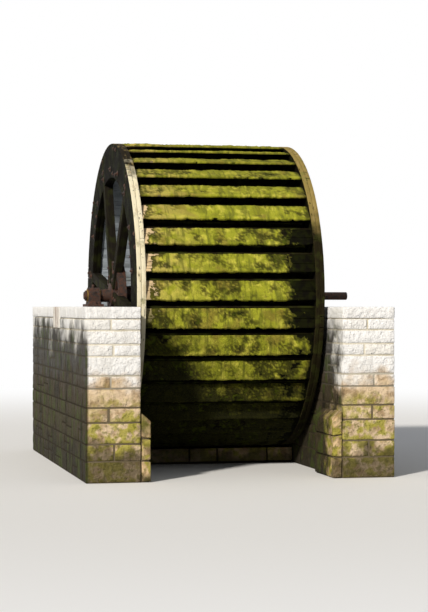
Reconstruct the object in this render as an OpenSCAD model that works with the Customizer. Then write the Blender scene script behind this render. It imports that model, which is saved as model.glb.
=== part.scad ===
// Low-breast water wheel of timber and cast iron between two masonry pit walls.
// X runs along the axle, from the outer pier to the drive end. Y runs upstream. Z is up.
// The origin is on the underside of the masonry, below the middle of the axle.

/* [Wheel] */
// Radius over the rims and the float lips
wheel_r = 2285; // [1900:5:2600]
// Width over the outer faces of the two rims
wheel_w = 2700; // [1800:10:3400]
// Number of arms on each side
arm_count = 6; // [5:1:7]
// Number of buckets from one arm to the next
buckets_per_arm = 6; // [5:1:7]
// Radial depth of the rims
ring_depth = 510; // [400:5:560]
// Thickness of one of the two layers of cants in a rim
cant_t = 65; // [50:1:80]
// Gap at the butt joints between cants
cant_gap = 1; // [0.5:0.1:3]

/* [Buckets] */
// Angle of the first elbow above the upstream horizontal
first_elbow = 4.8; // [0:0.1:9.9]
// Radial depth from the rim to the elbow
elbow_depth = 80; // [60:5:240]
// Angle that a float board spans from its elbow to its lip
float_span = 7; // [5:0.1:9]
// Thickness of the float boards
float_t = 30; // [20:1:40]
// Thickness of the riser boards
riser_t = 28; // [20:1:40]
// Thickness of the sole boards
sole_t = 28; // [20:1:40]
// Timber left on the rims inside the sole boards
sole_inset = 25; // [15:1:40]
// Air slot between sole boards
sole_gap = 6; // [2:0.5:12]
// Depth of the housings in the rims that hold the board ends
housing_depth = 20; // [12:1:30]

/* [Arms] */
// Width of an arm where it enters the rim
arm_w = 150; // [120:1:180]
// Width of an arm at the hub
arm_hub_w = 172; // [150:1:190]

/* [Hub] */
// Radius of the hub casting
hub_r = 520; // [450:5:620]
// Thickness of the hub's back plate
hub_plate_t = 32; // [24:1:45]
// Radius of the boss
boss_r = 192; // [170:1:210]
// Length of the boss
boss_l = 220; // [190:1:250]
// Thickness of the cheeks beside the arms
cheek_t = 26; // [18:1:36]
// Height of the cheeks above the back plate
cheek_h = 95; // [60:1:120]
// Radius of the arm bolt holes
arm_bolt_r = 11; // [8:0.5:14]
// Distance from the axle's centre to the first arm bolt
arm_bolt_at = 300; // [260:5:340]
// Distance between the two bolts of an arm
arm_bolt_pitch = 150; // [100:5:160]

/* [Axle] */
// Radius of the journals
journal_r = 65; // [50:1:80]
// Length of the journals
journal_l = 200; // [150:5:240]
// Radius of the axle between a journal and its hub
neck_r = 95; // [85:1:110]
// Radius of the seat in the hub
seat_r = 120; // [112:1:135]
// Radius of the core between the hubs
core_r = 92; // [80:1:105]
// Thickness of the four feathers
feather_t = 48; // [30:1:60]
// Radius over the feathers at mid length
feather_r = 190; // [150:1:220]
// Radius over the feathers at the hubs
feather_end_r = 145; // [125:1:160]
// Radius of the drive end
drive_r = 60; // [45:1:64]
// Length of the drive end beyond the inner wall
drive_l = 180; // [120:5:400]
// Width of the drive key slot
drive_key_w = 32; // [20:1:40]
// Depth of the drive key slot
drive_key_d = 11; // [6:0.5:14]
// Width of the hub keys
hub_key_w = 36; // [24:1:44]
// Height of the hub keys
hub_key_h = 26; // [16:1:34]

/* [Bearings] */
// Height of the axle above the bearing foot
bearing_h = 165; // [145:1:220]
// Distance from the wall's inner face to the bearing's middle
bearing_in = 200; // [170:5:380]
// Length of the bearing foot across the axle
foot_l = 520; // [460:5:600]
// Width of the bearing foot along the axle
foot_w = 240; // [220:5:300]
// Thickness of the bearing foot
foot_t = 40; // [28:1:55]
// Wall thickness of the brasses
brass_t = 20; // [14:1:28]
// Radial height of the flanges on the brasses
brass_flange = 14; // [8:1:20]
// Thickness of the flanges on the brasses
brass_flange_t = 12; // [8:1:18]
// Half width of the bearing block over its cap bolts
block_half = 150; // [140:1:175]
// Thickness of metal over the top brass
cap_t = 36; // [24:1:50]
// Radius of the holding-down bolt holes
holding_bolt_r = 13; // [9:0.5:16]
// Radius of the cap bolt holes
cap_bolt_r = 11; // [8:0.5:13]
// Radius of the oil cup
oil_cup_r = 22; // [14:1:30]
// Height of the oil cup
oil_cup_h = 46; // [25:1:70]

/* [Tie rods] */
// Radius of the rods that draw the two rims together
rod_r = 12; // [8:0.5:16]
// One rod in every so many buckets
rod_every = 2; // [1:1:6]
// Distance of the rods from the inner edge of the rim
rod_in = 130; // [110:5:150]
// How far the rods run out past the rims, for a washer and a nut
rod_end = 32; // [20:1:44]

/* [Masonry] */
// Thickness of the two walls
wall_t = 762; // [600:2:900]
// How far the two walls run past the wheel at each end
wall_run = 665; // [450:5:1000]
// Gap between a rim and its wall
side_gap = 60; // [48:1:120]
// Height of the wheel above the bed
floor_gap = 250; // [180:5:400]
// Thickness of the coping
coping_t = 165; // [120:1:220]
// Width of the worn arris on the coping
coping_arris = 14; // [6:1:30]
// Length of the bed stone under a bearing
bed_stone_l = 700; // [640:10:900]
// Thickness of the bed stones
bed_stone_t = 320; // [240:5:450]
// How far the nose footings stand out into the race
footing_out = 140; // [80:5:200]
// Height of the nose footings
footing_h = 950; // [600:10:1100]
// Length of the nose footings
footing_l = 950; // [600:10:1100]
// Height of the weathered slope on top of the footings
footing_slope = 130; // [60:5:200]
// Gap between the wheel and the curved breast
breast_gap = 30; // [20:1:50]
// How far the breast runs downstream past the lowest point
breast_toe = 300; // [150:10:600]
// Drop from the axle to the crest
crest_drop = 600; // [450:10:900]
// Thickness of the crest stone
crest_t = 150; // [100:5:220]
// Width of the worn edge on the crest stone
crest_arris = 40; // [20:1:60]

/* [Clearances] */
// Gap at pieces that are fitted and don't turn
fit = 0.3; // [0.2:0.05:0.6]
// Radial gap between a journal and its brasses
running = 0.1; // [0.05:0.01:0.12]

/* [Hidden] */
$fn = 96;
axle_z = floor_gap + wheel_r;
pitch = 360 / (arm_count * buckets_per_arm);
bucket_count = arm_count * buckets_per_arm;
arm_step = 360 / arm_count;
arm_start_angle = first_elbow + pitch / 2;
ring_x = wheel_w / 2;
ring_in_r = wheel_r - ring_depth;
inner_layer_x = ring_x - 2 * cant_t;
outer_layer_x = ring_x - cant_t;
rod_at = ring_in_r + rod_in;
rod_hole_r = rod_r + fit;
rod_count = floor(bucket_count / rod_every);

// Bucket section, in a frame turned so that the elbow lies on its first axis
elbow_r = wheel_r - elbow_depth;
lip = [wheel_r * cos(float_span), wheel_r * sin(float_span)];
float_dir = (lip - [elbow_r, 0]) / norm(lip - [elbow_r, 0]);
float_in = [-float_dir.y, float_dir.x];
sole_r = ring_in_r + sole_inset;
sole_out_r = sole_r + sole_t;
board_x = inner_layer_x + housing_depth - fit;

// Arms
arm_in_r = max(boss_r + fit, (arm_hub_w / 2 + fit) / sin(arm_step / 2));
arm_body_r = sqrt(pow(ring_in_r - fit, 2) - pow(arm_w / 2, 2));
arm_tip_r = sqrt(pow(wheel_r, 2) - pow(arm_w / 2, 2));

// Walls, bearings and axle
wall_l = 2 * (wheel_r + wall_run);
wall_x = ring_x + side_gap;
wall_top = axle_z - bearing_h;
bearing_x = wall_x + bearing_in;
brass_r = journal_r + running + brass_t;
brass_l = journal_l - 4;
block_w = brass_l - 2 * brass_flange_t - 2 * fit;
cap_bolt_at = (brass_r + brass_flange + block_half) / 2;
holding_bolt_at = (block_half + foot_l / 2) / 2 + 8;
journal_x = bearing_x - journal_l / 2;
collar_r = journal_r + 13;
collar_l = 24;
hub_x = inner_layer_x - fit - hub_plate_t;
boss_x = inner_layer_x + 2 * cant_t + 10 - boss_l;
drive_end_x = wall_x + wall_t + drive_l;
footing_top_y = -wall_l / 2 + footing_l;
crest_z = axle_z - crest_drop;
breast_r = wheel_r + breast_gap;

// Frames: a section drawn in (y, z) about the axle is extruded along X from x0 to x1
module along_axle(x0) {
    translate([x0, 0, axle_z]) rotate([90, 0, 90]) children();
}

module section(x0, x1) {
    along_axle(x0) linear_extrude(x1 - x0) children();
}

// The same in (y, z) measured from the bed
module upright(x0, x1) {
    translate([x0, 0, 0]) rotate([90, 0, 90]) linear_extrude(x1 - x0) children();
}

// The outer side of the wheel is at -X: it is the inner side seen in a mirror
module on_side(side) {
    if (side > 0) children();
    else mirror([1, 0, 0]) children();
}

// Points on the float board, d deep from its outer face and y off the elbow's radius
function float_point(d, y) =
    [elbow_r + (float_dir.x * y - d) / float_dir.y, y];

function float_profile() = [
    float_point(0, fit), lip, lip + float_in * float_t, float_point(float_t, fit)
];

// One housing takes a riser and its float. It starts in the sole's channel and runs out
// at the rim, so that a board can be slid in from outside
function elbow_housing() = [
    [sole_r + sole_t / 2, -riser_t - fit],
    [sole_r + sole_t / 2, fit],
    float_point(float_t + fit, fit),
    lip + float_in * (float_t + fit) + float_dir * 4 * float_t,
    lip - float_in * fit + float_dir * 3 * float_t,
    float_point(-fit, -riser_t - fit)
];

// The top of a sole board, seen from the elbow's radius
function sole_top(y) = (sole_out_r + y * sin(pitch / 2)) / cos(pitch / 2);

function riser_profile() = [
    [sole_top(-riser_t) + fit, -riser_t],
    [sole_top(0) + fit, 0],
    float_point(0, 0),
    float_point(0, -riser_t)
];

function sole_profile() =
    let (w = sole_r * tan(pitch / 2) - sole_gap / 2)
    [[sole_r, -w], [sole_out_r, -w], [sole_out_r, w], [sole_r, w]];

// The sole's channel is one strip of flats, from elbow number first to elbow number last
function sole_channel(first, last) =
    let (in_r = (sole_r - fit) / cos(pitch / 2), out_r = (sole_out_r + fit) / cos(pitch / 2))
    concat(
        [for (k = [first:last]) let (a = first_elbow + k * pitch) [in_r * cos(a), in_r * sin(a)]],
        [for (k = [last:-1:first]) let (a = first_elbow + k * pitch) [out_r * cos(a), out_r * sin(a)]]
    );

module each_bucket(turn = 0) {
    for (k = [0:bucket_count - 1]) rotate(first_elbow + turn + k * pitch) children();
}

// Housings for the board ends in a back cant that runs from angle a0 to a1
module housings(a0, a1) {
    first = floor((a0 - first_elbow) / pitch) - 1;
    last = ceil((a1 - first_elbow) / pitch) + 1;
    polygon(sole_channel(first, last));
    for (k = [first:last]) rotate(first_elbow + k * pitch) polygon(elbow_housing());
}

module rod_holes(a0, a1, x0, x1) {
    along_axle(x0) for (k = [0:rod_count - 1])
        let (a = arm_start_angle + k * rod_every * pitch)
        if ((a - a0 + 720) % 360 <= a1 - a0)
            rotate([0, 0, a]) translate([rod_at, 0, 0]) cylinder(h = x1 - x0, r = rod_hole_r);
}

// Back cants: the inboard layer, whose butt joints fall half way between the arms
module back_cants(side) {
    trim = asin(cant_gap / 2 / ring_in_r);
    color("#6b5232") on_side(side) for (i = [0:arm_count - 1]) {
        a0 = arm_start_angle + (i - 0.5) * arm_step + trim;
        a1 = arm_start_angle + (i + 0.5) * arm_step - trim;
        difference() {
            along_axle(inner_layer_x) rotate([0, 0, a0]) rotate_extrude(angle = a1 - a0, $fn = 180)
                translate([ring_in_r, 0]) square([ring_depth, cant_t - fit]);
            section(inner_layer_x - 1, inner_layer_x + housing_depth) housings(a0, a1);
            rod_holes(a0, a1, inner_layer_x - 1, ring_x);
        }
    }
}

// Face cants: the outboard layer, with the tongues of the arms let in between them
module face_cants(side) {
    color("#77603c") on_side(side) for (i = [0:arm_count - 1]) {
        a0 = arm_start_angle + i * arm_step;
        difference() {
            along_axle(outer_layer_x) rotate([0, 0, a0]) rotate_extrude(angle = arm_step, $fn = 180)
                translate([ring_in_r, 0]) square([ring_depth, cant_t]);
            for (a = [a0, a0 + arm_step])
                section(outer_layer_x - 1, ring_x + 1) rotate(a)
                    translate([ring_in_r - 100, -arm_w / 2 - cant_gap])
                    square([ring_depth + 200, arm_w + 2 * cant_gap]);
            rod_holes(a0 + 1, a0 + arm_step - 1, outer_layer_x - 1, ring_x + 1);
        }
    }
}

module float_boards() {
    color("#8a9a2e") section(-board_x, board_x) each_bucket() polygon(float_profile());
}

module riser_boards() {
    color("#5f6a26") section(-board_x, board_x) each_bucket() polygon(riser_profile());
}

module sole_boards() {
    color("#4a4026") section(-board_x, board_x) each_bucket(pitch / 2) polygon(sole_profile());
}

// Half width of an arm at radius r
function arm_half(r) =
    (arm_hub_w + (arm_w - arm_hub_w) * (r - arm_in_r) / (arm_body_r - arm_in_r)) / 2;

function arm_outline(r0, r1, grow) = [
    [r0, -arm_half(r0) - grow], [r0, arm_half(r0) + grow],
    [r1, arm_half(r1) + grow], [r1, -arm_half(r1) - grow]
];

module arm_bolt_holes(x0, x1) {
    along_axle(x0) for (r = [arm_bolt_at, arm_bolt_at + arm_bolt_pitch])
        translate([r, 0, 0]) cylinder(h = x1 - x0, r = arm_bolt_r);
}

// An arm tapers to the rim, where half its thickness runs on as a tongue to the edge
module arm(side, i) {
    a = arm_start_angle + (i - 1) * arm_step;
    color("#6e5836") on_side(side) difference() {
        union() {
            section(inner_layer_x, outer_layer_x) rotate(a)
                polygon(arm_outline(arm_in_r, arm_body_r, 0));
            section(outer_layer_x, ring_x) rotate(a) {
                polygon(arm_outline(arm_in_r, arm_body_r, 0));
                translate([arm_body_r - 1, -arm_w / 2]) square([arm_tip_r - arm_body_r + 1, arm_w]);
            }
        }
        translate([0, 0, axle_z]) rotate([a, 0, 0]) translate([0, 0, -axle_z])
            arm_bolt_holes(inner_layer_x - 1, ring_x + 1);
        rod_holes(a - 1, a + 1, outer_layer_x - 1, ring_x + 1);
    }
}

// Hub casting: a boss, a back plate, and a pair of cheeks round each arm
module hub(side) {
    color("#3d3a38") on_side(side) difference() {
        union() {
            along_axle(boss_x) cylinder(h = boss_l, r = boss_r);
            along_axle(hub_x) cylinder(h = hub_plate_t, r = hub_r);
            along_axle(hub_x) difference() {
                cylinder(h = hub_plate_t + cheek_h, r = hub_r);
                translate([0, 0, hub_plate_t]) cylinder(h = cheek_h + 1, r = hub_r - cheek_t);
            }
            for (i = [0:arm_count - 1])
                section(hub_x, hub_x + hub_plate_t + cheek_h)
                    rotate(arm_start_angle + i * arm_step)
                    intersection() {
                        polygon(arm_outline(0, hub_r, cheek_t));
                        circle(r = hub_r - 0.5);
                    }
        }
        for (i = [0:arm_count - 1])
            let (a = arm_start_angle + i * arm_step) {
                section(hub_x + hub_plate_t, ring_x + 100) rotate(a)
                    polygon(arm_outline(arm_in_r - fit, hub_r + 50, fit));
                translate([0, 0, axle_z]) rotate([a, 0, 0]) translate([0, 0, -axle_z])
                    arm_bolt_holes(hub_x - 1, ring_x);
            }
        along_axle(boss_x - 1) cylinder(h = boss_l + 2, r = seat_r + fit);
        for (a = [0, 180]) along_axle(boss_x - 1) rotate([0, 0, a])
            translate([seat_r - hub_key_h / 2, -hub_key_w / 2 - fit, 0])
            cube([hub_key_h + fit, hub_key_w + 2 * fit, boss_l + 2]);
    }
}

module hub_keys(side) {
    color("#55504a") on_side(side) for (a = [0, 180]) along_axle(boss_x) rotate([0, 0, a])
        translate([seat_r - hub_key_h / 2, -hub_key_w / 2, 0])
        cube([hub_key_h, hub_key_w, boss_l]);
}

// Steps of the turned axle, as [x from, radius, x to, radius], from the middle to the drive end
function half_axle(end_x, end_r) = [
    [0, core_r, boss_x - 60, core_r],
    [boss_x - 60, core_r, boss_x - 14, seat_r],
    [boss_x - 14, seat_r, boss_x + boss_l + 4, seat_r],
    [boss_x + boss_l + 4, seat_r, boss_x + boss_l + 12, neck_r],
    [boss_x + boss_l + 12, neck_r, journal_x - collar_l, neck_r],
    [journal_x - collar_l, collar_r, journal_x, collar_r],
    [journal_x, journal_r, journal_x + journal_l, journal_r],
    [journal_x + journal_l, collar_r, journal_x + journal_l + collar_l, collar_r],
    [journal_x + journal_l + collar_l, end_r, end_x - 5, end_r],
    [end_x - 5, end_r, end_x, end_r - 5]
];

function axle_outline(steps) = concat(
    [[0, steps[0][0]]],
    [for (s = steps) each [[s[1], s[0]], [s[3], s[2]]]],
    [[0, steps[len(steps) - 1][2]]]
);

module axle() {
    plain_end_x = journal_x + journal_l + collar_l + 20;
    color("#4a423b") difference() {
        union() {
            along_axle(0) rotate_extrude() polygon(axle_outline(half_axle(drive_end_x, drive_r)));
            mirror([1, 0, 0]) along_axle(0) rotate_extrude()
                polygon(axle_outline(half_axle(plain_end_x, journal_r - 8)));
            // Feathers, deepest at mid length
            for (a = [0:90:270]) translate([0, 0, axle_z]) rotate([a, 0, 0])
                translate([0, feather_t / 2, 0]) rotate([90, 0, 0]) linear_extrude(feather_t)
                polygon([
                    [-boss_x + 30, 0], [-boss_x + 30, feather_end_r],
                    [-boss_x / 2, (feather_r + feather_end_r) / 2 + 14], [0, feather_r],
                    [boss_x / 2, (feather_r + feather_end_r) / 2 + 14],
                    [boss_x - 30, feather_end_r], [boss_x - 30, 0]
                ]);
        }
        for (side = [-1, 1]) on_side(side) for (a = [0, 180])
            along_axle(boss_x - 70) rotate([0, 0, a])
            translate([seat_r - hub_key_h / 2 - fit, -hub_key_w / 2 - fit, 0])
            cube([hub_key_h, hub_key_w + 2 * fit, boss_l + 100]);
        along_axle(drive_end_x - drive_l + 30) translate([drive_r - drive_key_d, -drive_key_w / 2, 0])
            cube([drive_key_d + 10, drive_key_w, drive_l]);
    }
}

// Bearing block: foot, split brasses and cap, with the joint at the axle's height
module bearing_base(side) {
    color("#3b3733") on_side(side) difference() {
        union() {
            translate([bearing_x - foot_w / 2, -foot_l / 2, wall_top]) cube([foot_w, foot_l, foot_t]);
            upright(bearing_x - block_w / 2, bearing_x + block_w / 2) translate([0, wall_top])
                polygon([
                    [-block_half - 45, foot_t - 1], [block_half + 45, foot_t - 1],
                    [block_half, foot_t + 45], [block_half, bearing_h - 1],
                    [-block_half, bearing_h - 1], [-block_half, foot_t + 45]
                ]);
        }
        along_axle(bearing_x - foot_w) cylinder(h = 2 * foot_w, r = brass_r + fit);
        for (y = [-holding_bolt_at, holding_bolt_at])
            translate([bearing_x, y, wall_top - 1]) cylinder(h = foot_t + 60, r = holding_bolt_r);
        for (y = [-cap_bolt_at, cap_bolt_at])
            translate([bearing_x, y, wall_top + foot_t]) cylinder(h = bearing_h, r = cap_bolt_r);
        // Room for the flanges of the brasses and for the collars
        for (x = [bearing_x - foot_w, bearing_x + block_w / 2])
            along_axle(x) cylinder(h = foot_w - block_w / 2, r = brass_r + brass_flange + 3);
    }
}

module bearing_brass(side) {
    color("#a8873f") on_side(side) difference() {
        union() {
            along_axle(bearing_x - brass_l / 2) cylinder(h = brass_l, r = brass_r);
            for (x = [bearing_x - brass_l / 2, bearing_x + brass_l / 2 - brass_flange_t])
                along_axle(x) cylinder(h = brass_flange_t, r = brass_r + brass_flange);
        }
        along_axle(bearing_x - journal_l) cylinder(h = 2 * journal_l, r = journal_r + running);
        translate([bearing_x - journal_l, -block_half, axle_z - 0.4])
            cube([2 * journal_l, 2 * block_half, 0.8]);
    }
}

module bearing_cap(side) {
    color("#3b3733") on_side(side) difference() {
        union() {
            intersection() {
                along_axle(bearing_x - block_w / 2) cylinder(h = block_w, r = brass_r + cap_t);
                translate([bearing_x - foot_w, -block_half, axle_z + 1])
                    cube([2 * foot_w, 2 * block_half, 2 * block_half]);
            }
            translate([bearing_x - block_w / 2, -block_half, axle_z + 1])
                cube([block_w, 2 * block_half, cap_t]);
            translate([bearing_x, 0, axle_z + brass_r + cap_t - 6]) cylinder(h = oil_cup_h + 6, r = oil_cup_r);
        }
        along_axle(bearing_x - foot_w) cylinder(h = 2 * foot_w, r = brass_r + fit);
        for (y = [-cap_bolt_at, cap_bolt_at])
            translate([bearing_x, y, axle_z]) cylinder(h = 2 * cap_t, r = cap_bolt_r);
        translate([bearing_x, 0, axle_z + brass_r + cap_t + 6]) cylinder(h = oil_cup_h, r = oil_cup_r - 5);
    }
}

module tie_rods() {
    end_x = ring_x + rod_end;
    color("#5a4638") along_axle(-end_x) for (k = [0:rod_count - 1])
        rotate([0, 0, arm_start_angle + k * rod_every * pitch]) translate([rod_at, 0, 0])
        cylinder(h = 2 * end_x, r = rod_r);
}

// Walls: plain masonry bodies, notched for the bed stones
module pit_wall(side) {
    color("#cdbfa4") on_side(side) difference() {
        translate([wall_x, -wall_l / 2, 0]) cube([wall_t, wall_l, wall_top - coping_t]);
        translate([wall_x - 1, -bed_stone_l / 2, wall_top - bed_stone_t])
            cube([wall_t + 2, bed_stone_l, bed_stone_t]);
    }
}

// A footing stands out from the wall's nose into the race and sheds water by a slope
module footing(side) {
    top = footing_h - footing_slope;
    color("#b59d6c") on_side(side) translate([0, footing_top_y, 0]) rotate([90, 0, 0])
        linear_extrude(footing_l)
        polygon([
            [wall_x, 0], [wall_x, footing_h], [wall_x - footing_out, top], [wall_x - footing_out, 0]
        ]);
}

// Coping in two runs, before and behind the bed stone, with worn arrises
module coping(side) {
    c = coping_arris;
    color("#efe6cf") on_side(side) for (flip = [0, 1]) mirror([0, flip, 0])
        intersection() {
            translate([0, wall_l / 2, 0]) rotate([90, 0, 0])
                linear_extrude(wall_l / 2 - bed_stone_l / 2)
                polygon([
                    [wall_x, wall_top - coping_t], [wall_x, wall_top - c], [wall_x + c, wall_top],
                    [wall_x + wall_t - c, wall_top], [wall_x + wall_t, wall_top - c],
                    [wall_x + wall_t, wall_top - coping_t]
                ]);
            upright(wall_x - 1, wall_x + wall_t + 1)
                polygon([
                    [0, wall_top - coping_t - 1], [0, wall_top + 1], [wall_l / 2 - c, wall_top + 1],
                    [wall_l / 2 - c, wall_top], [wall_l / 2, wall_top - c],
                    [wall_l / 2, wall_top - coping_t - 1]
                ]);
        }
}

module bed_stone(side) {
    color("#d8cdb4") on_side(side) difference() {
        translate([wall_x, -bed_stone_l / 2, wall_top - bed_stone_t])
            cube([wall_t, bed_stone_l, bed_stone_t]);
        for (y = [-holding_bolt_at, holding_bolt_at])
            translate([bearing_x, y, wall_top - bed_stone_t / 2])
            cylinder(h = bed_stone_t, r = holding_bolt_r);
    }
}

// The breast follows the wheel from just past its lowest point up to the crest
module breast() {
    color("#8d8468") upright(-wall_x, wall_x) difference() {
        translate([-breast_toe, 0]) square([breast_toe + wall_l / 2, crest_z - crest_t]);
        translate([0, axle_z]) circle(r = breast_r, $fn = 256);
    }
}

module crest_stone() {
    edge_y = sqrt(pow(breast_r, 2) - pow(crest_drop + crest_arris, 2)) + 2;
    color("#b8ab88") upright(-wall_x, wall_x) difference() {
        polygon([
            [edge_y / 2, crest_z - crest_t], [edge_y / 2, crest_z - crest_arris],
            [edge_y, crest_z - crest_arris], [edge_y + crest_arris, crest_z],
            [wall_l / 2, crest_z], [wall_l / 2, crest_z - crest_t]
        ]);
        translate([0, axle_z]) circle(r = breast_r, $fn = 256);
    }
}

pit_wall(-1);  // outer_pier
footing(-1);  // outer_footing
coping(-1);  // outer_coping
bed_stone(-1);  // outer_bed_stone
pit_wall(1);  // inner_wall
footing(1);  // inner_footing
coping(1);  // inner_coping
bed_stone(1);  // inner_bed_stone
breast();
crest_stone();
bearing_base(-1);  // outer_bearing_base
bearing_brass(-1);  // outer_bearing_brass
bearing_cap(-1);  // outer_bearing_cap
bearing_base(1);  // inner_bearing_base
bearing_brass(1);  // inner_bearing_brass
bearing_cap(1);  // inner_bearing_cap
axle();
hub(-1);  // outer_hub
hub(1);  // inner_hub
hub_keys(-1);  // outer_hub_keys
hub_keys(1);  // inner_hub_keys
for (i = [1:arm_count]) {
    arm(-1, i);
    arm(1, i);
}
face_cants(-1);  // outer_ring_face_cants
back_cants(-1);  // outer_ring_back_cants
face_cants(1);  // inner_ring_face_cants
back_cants(1);  // inner_ring_back_cants
float_boards();
riser_boards();
sole_boards();
tie_rods();
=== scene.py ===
import math
import random

import bpy
import bmesh
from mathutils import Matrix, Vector, noise


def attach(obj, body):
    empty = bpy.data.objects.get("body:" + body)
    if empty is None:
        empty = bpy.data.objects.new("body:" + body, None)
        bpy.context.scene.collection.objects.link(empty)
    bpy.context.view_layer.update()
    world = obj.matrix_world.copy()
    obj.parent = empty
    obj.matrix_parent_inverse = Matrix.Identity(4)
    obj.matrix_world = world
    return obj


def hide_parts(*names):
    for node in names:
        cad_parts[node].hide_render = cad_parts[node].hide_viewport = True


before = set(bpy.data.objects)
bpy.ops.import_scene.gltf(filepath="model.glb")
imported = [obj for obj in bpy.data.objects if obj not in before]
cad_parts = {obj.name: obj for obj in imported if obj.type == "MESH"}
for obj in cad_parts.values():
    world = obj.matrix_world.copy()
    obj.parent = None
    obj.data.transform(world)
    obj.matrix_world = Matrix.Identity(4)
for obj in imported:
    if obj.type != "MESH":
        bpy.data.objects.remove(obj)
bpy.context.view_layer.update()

# Sizes in metres, as in the solids
WHEEL_R = 2.285
AXLE_Z = 2.535
RING_X = 1.350          # outer face of a rim
LAYER = 0.065           # one layer of cants
RING_IN_R = 1.775
ELBOW_R = 2.205
FIRST_ELBOW = math.radians(4.8)
PITCH = math.radians(10)
ARM_START = FIRST_ELBOW + PITCH / 2
ARM_STEP = math.radians(60)
ARM_IN_R, ARM_BODY_R, ARM_TIP_R = 0.1923, 1.7731, 2.2838
ARM_HUB_HALF, ARM_HALF = 0.086, 0.075
BOARD_X = 1.2397        # end of the boards, inside their housings
FLOAT_L, FLOAT_T = 0.2855, 0.030
FLOAT_ALONG = (0.2206, 0.9754)      # from the elbow to the lip: outwards, round
FLOAT_IN = (-0.9754, 0.2206)        # from a float's outer face into its wood
SOLE_R, SOLE_T = 1.800, 0.028
RISER_T = 0.028
ROD_R = 1.905
WALL_IN, WALL_OUT = 1.410, 2.172
WALL_END = 2.950
WALL_TOP, COPING_T = 2.370, 0.165
BED_HALF, BED_LOW = 0.350, 2.050
FOOT_X, FOOT_END, FOOT_TOP, FOOT_LOW = 1.270, -2.000, 0.950, 0.820
BREAST_R, BREAST_TOE = 2.315, -0.300
CREST_TOP, CREST_LOW = 1.935, 1.785
BEARING_X = 1.610
JOURNAL = (1.511, 1.709)            # the polished band along the axle
HUB_BACK_X = 1.1877     # back of a hub casting, where the arm bolts come out
FLOATS, ARMS = 36, 6
SIDES = ((-1, "outer"), (1, "inner"))

chance = random.Random(41)


# Solids gathered into pieces

def linear(colour):
    """An sRGB hex colour as linear values."""
    parts = [int(colour[i:i + 2], 16) / 255 for i in (1, 3, 5)]
    return (*[p / 12.92 if p <= 0.04045 else ((p + 0.055) / 1.055) ** 2.4 for p in parts], 1.0)


def in_scene(name, data):
    """A new object of this mesh, lamp or camera, in the scene."""
    thing = bpy.data.objects.new(name, data)
    bpy.context.scene.collection.objects.link(thing)
    return thing


class Work:
    """Closed solids for one piece, each with its own tone and its own place in the grain."""

    def __init__(self):
        self.points, self.faces, self.tones, self.grains = [], [], [], []

    def add(self, points, faces, tone, grains):
        """Take in one closed solid; tone is one value, or a list with one for each point."""
        first = len(self.points)
        self.points += points
        self.faces += [[first + i for i in face] for face in faces]
        self.tones += tone if isinstance(tone, list) else [tone] * len(points)
        self.grains += grains

    def piece(self, name, finish, body, slot, *replaced, smooth=True):
        """Make the piece, which rides on its body and stands in for the replaced nodes."""
        mesh = bpy.data.meshes.new(name)
        mesh.from_pydata([tuple(p) for p in self.points], [], self.faces)
        mesh.attributes.new("tone", "FLOAT", "POINT").data.foreach_set("value", self.tones)
        mesh.attributes.new("grain", "FLOAT_VECTOR", "POINT").data.foreach_set(
            "vector", [c for g in self.grains for c in g])
        shell = bmesh.new()
        shell.from_mesh(mesh)
        bmesh.ops.recalc_face_normals(shell, faces=shell.faces)
        shell.to_mesh(mesh)
        shell.free()
        mesh.polygons.foreach_set("use_smooth", [smooth] * len(mesh.polygons))
        mesh.materials.append(finish)
        thing = in_scene(name, mesh)
        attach(thing, body)
        if replaced:
            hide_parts(*replaced)


def lines(lo, hi, edge, cell):
    """Cell lines from lo to hi: close together on the rounded edges, then a cell apart."""
    count = max(1, round((hi - lo - 2 * edge) / cell))
    inner = [lo + edge + (hi - lo - 2 * edge) * i / count for i in range(count + 1)]
    return [lo, lo + edge * 0.3] + inner + [hi - edge * 0.3, hi]


def box_shell(xs, ys, zs):
    """The surface of a box as a grid of quads on the given cell lines."""
    index, points, faces = {}, [], []
    axes, last = (xs, ys, zs), (len(xs) - 1, len(ys) - 1, len(zs) - 1)

    def corner(at):
        if at not in index:
            index[at] = len(points)
            points.append(Vector([axes[n][at[n]] for n in range(3)]))
        return index[at]

    for n in range(3):
        a, b = (n + 1) % 3, (n + 2) % 3
        for end in (0, last[n]):
            for i in range(last[a]):
                for j in range(last[b]):
                    face = []
                    for di, dj in ((0, 0), (1, 0), (1, 1), (0, 1)):
                        at = [0, 0, 0]
                        at[n], at[a], at[b] = end, i + di, j + dj
                        face.append(corner(tuple(at)))
                    faces.append(face if end else face[::-1])
    return points, faces


def here(p):
    """Leaves a point where it is."""
    return p


def block(work, lo, hi, edge, cell, rough, tone, place=here, grain_of=here, fine=9.0):
    """A worn block from lo to hi: round on its edges and hollowed a little on its faces.

    cell gives the size of a cell on each axis, rough the depth of the hollows, and
    fine how many hollows go to a metre. tone is its shade from 0 to 1; place() sets each
    point in the model, and grain_of() in the grain.
    """
    points, faces = box_shell(*[lines(lo[n], hi[n], edge, cell[n]) for n in range(3)])
    away = Vector([chance.uniform(-50, 50) for _ in range(3)])
    out, grains = [], []
    for p in points:
        core = Vector([min(max(p[n], lo[n] + edge), hi[n] - edge) for n in range(3)])
        outwards = (p - core).normalized()
        hollow = 0.5 + 0.35 * noise.noise((p + away) * fine) + 0.3 * noise.noise((p - away) * fine * 2.7)
        out.append(Vector(place(core + outwards * (edge - rough * hollow))))
        grains.append(Vector(grain_of(p)) + away)
    work.add(out, faces, tone, grains)


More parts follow.
